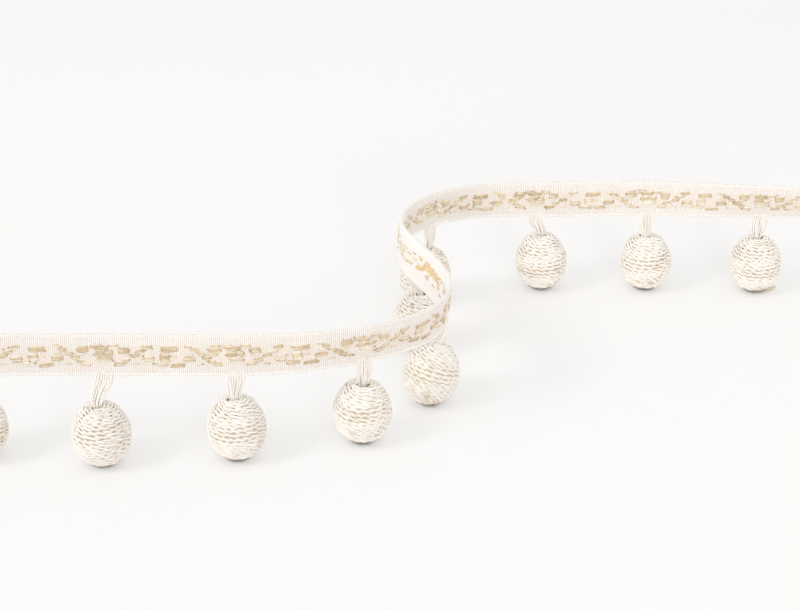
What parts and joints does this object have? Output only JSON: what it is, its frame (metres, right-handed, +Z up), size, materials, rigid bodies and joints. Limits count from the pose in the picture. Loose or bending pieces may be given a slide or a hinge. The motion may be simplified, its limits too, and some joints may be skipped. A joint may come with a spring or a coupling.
{
  "type": "pompom fringe trim",
  "caption": "Cut length of patterned woven tape with yarn-wound balls hung from its lower edge on soft yarns, standing in a loose S-shaped curve.",
  "frame": {"origin": "on the ground under the middle of the trim's box, with the trim standing on its balls", "axes": "+Z up; +X along the front and back runs of the S, from the cut end of the front run; +Y from the front run to the back run"},
  "size_m": [0.2864, 0.138, 0.0402],
  "materials": {
    "tape": "off-white ribbed weave, matt",
    "pattern_yarn": "pale gold satin floats",
    "hanger_yarn": "soft off-white yarn",
    "ball_yarn": "ivory and beige twisted yarn, soft sheen"
  },
  "bodies": {
    "root": {"tape": "tape", "hanger_01": "hanger_yarn", "hanger_02": "hanger_yarn", "hanger_03": "hanger_yarn", "hanger_04": "hanger_yarn", "hanger_05": "hanger_yarn", "hanger_06": "hanger_yarn", "hanger_07": "hanger_yarn", "hanger_08": "hanger_yarn", "hanger_09": "hanger_yarn", "hanger_10": "hanger_yarn", "ball_01": "ball_yarn", "ball_02": "ball_yarn", "ball_03": "ball_yarn", "ball_04": "ball_yarn", "ball_05": "ball_yarn", "ball_06": "ball_yarn", "ball_07": "ball_yarn", "ball_08": "ball_yarn", "ball_09": "ball_yarn", "ball_10": "ball_yarn"}
  },
  "joints": []
}
